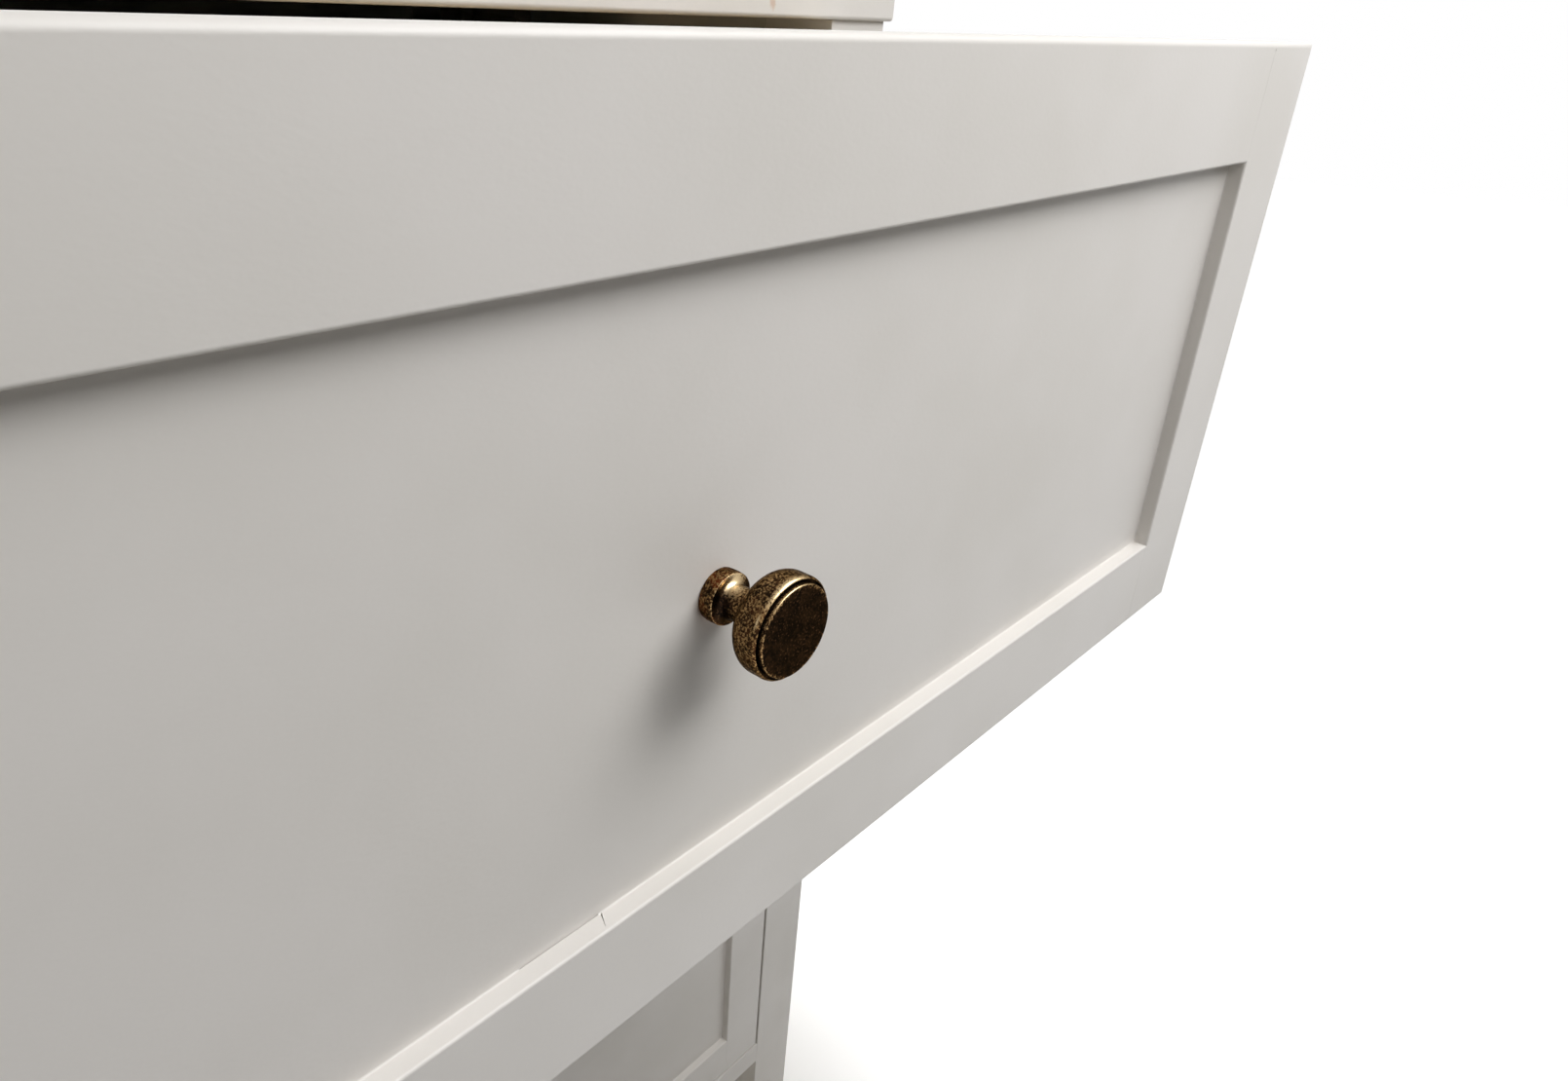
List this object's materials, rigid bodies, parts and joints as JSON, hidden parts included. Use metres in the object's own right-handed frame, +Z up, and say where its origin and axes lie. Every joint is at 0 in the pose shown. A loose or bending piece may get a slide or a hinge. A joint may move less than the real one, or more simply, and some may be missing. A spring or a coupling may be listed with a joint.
{
  "type": "chest of drawers",
  "caption": "Painted chest of inset drawers with framed fronts, turned brass knobs, square legs and a flat top; the top drawer is pulled part way out.",
  "frame": {"origin": "on the floor, in the middle of the footprint of the stored pose, with the top drawer pulled 234 mm out", "axes": "+X to the right seen from in front, +Y towards the back, so the drawers open along -Y, and +Z up"},
  "size_m": [0.732, 0.661, 0.969],
  "materials": {
    "white_paint": "satin brushed paint",
    "drawer_wood": "planed, thin clear lacquer",
    "frame_wood": "planed, unfinished",
    "plywood": "sanded, unfinished",
    "aged_brass": "patinated, rubbed bright on the arrises",
    "zinc_steel": "zinc plated",
    "glide_plastic": "moulded, matt"
  },
  "bodies": {
    "carcass": {"back_panel": "plywood", "bottom_face_rail": "white_paint", "bottom_left_runner": "frame_wood", "bottom_panel": "plywood", "bottom_right_runner": "frame_wood", "foot_glides": "glide_plastic", "front_left_leg": "white_paint", "front_right_leg": "white_paint", "left_side_panel": "white_paint", "left_top_cleats": "frame_wood", "lower_divider_rail": "white_paint", "middle_left_runner": "frame_wood", "middle_right_runner": "frame_wood", "rear_left_leg": "white_paint", "rear_right_leg": "white_paint", "right_side_panel": "white_paint", "right_top_cleats": "frame_wood", "top_left_runner": "frame_wood", "top_panel": "white_paint", "top_right_runner": "frame_wood", "upper_divider_rail": "white_paint"},
    "bottom_drawer": {"bottom_drawer_right_stile": "white_paint", "bottom_drawer_left_stile": "white_paint", "bottom_drawer_upper_rail": "white_paint", "bottom_drawer_lower_rail": "white_paint", "bottom_drawer_front_panel": "white_paint", "bottom_drawer_knob": "aged_brass", "bottom_drawer_knob_screw": "zinc_steel", "bottom_drawer_front_screws": "zinc_steel", "bottom_drawer_right_side": "drawer_wood", "bottom_drawer_left_side": "drawer_wood", "bottom_drawer_inner_front": "drawer_wood", "bottom_drawer_back": "drawer_wood", "bottom_drawer_bottom": "plywood"},
    "middle_drawer": {"middle_drawer_right_stile": "white_paint", "middle_drawer_left_stile": "white_paint", "middle_drawer_upper_rail": "white_paint", "middle_drawer_lower_rail": "white_paint", "middle_drawer_front_panel": "white_paint", "middle_drawer_knob": "aged_brass", "middle_drawer_knob_screw": "zinc_steel", "middle_drawer_front_screws": "zinc_steel", "middle_drawer_right_side": "drawer_wood", "middle_drawer_left_side": "drawer_wood", "middle_drawer_inner_front": "drawer_wood", "middle_drawer_back": "drawer_wood", "middle_drawer_bottom": "plywood"},
    "top_drawer": {"top_drawer_right_stile": "white_paint", "top_drawer_left_stile": "white_paint", "top_drawer_upper_rail": "white_paint", "top_drawer_lower_rail": "white_paint", "top_drawer_front_panel": "white_paint", "top_drawer_knob": "aged_brass", "top_drawer_knob_screw": "zinc_steel", "top_drawer_front_screws": "zinc_steel", "top_drawer_right_side": "drawer_wood", "top_drawer_left_side": "drawer_wood", "top_drawer_inner_front": "drawer_wood", "top_drawer_back": "drawer_wood", "top_drawer_bottom": "plywood"}
  },
  "joints": [
    {"name": "bottom_drawer_slide", "type": "slide", "parent": "carcass", "child": "bottom_drawer", "axis": [0, -1, 0], "range_m": [0, 0.3]},
    {"name": "middle_drawer_slide", "type": "slide", "parent": "carcass", "child": "middle_drawer", "axis": [0, -1, 0], "range_m": [0, 0.3]},
    {"name": "top_drawer_slide", "type": "slide", "parent": "carcass", "child": "top_drawer", "axis": [0, -1, 0], "range_m": [-0.234, 0.066]}
  ]
}
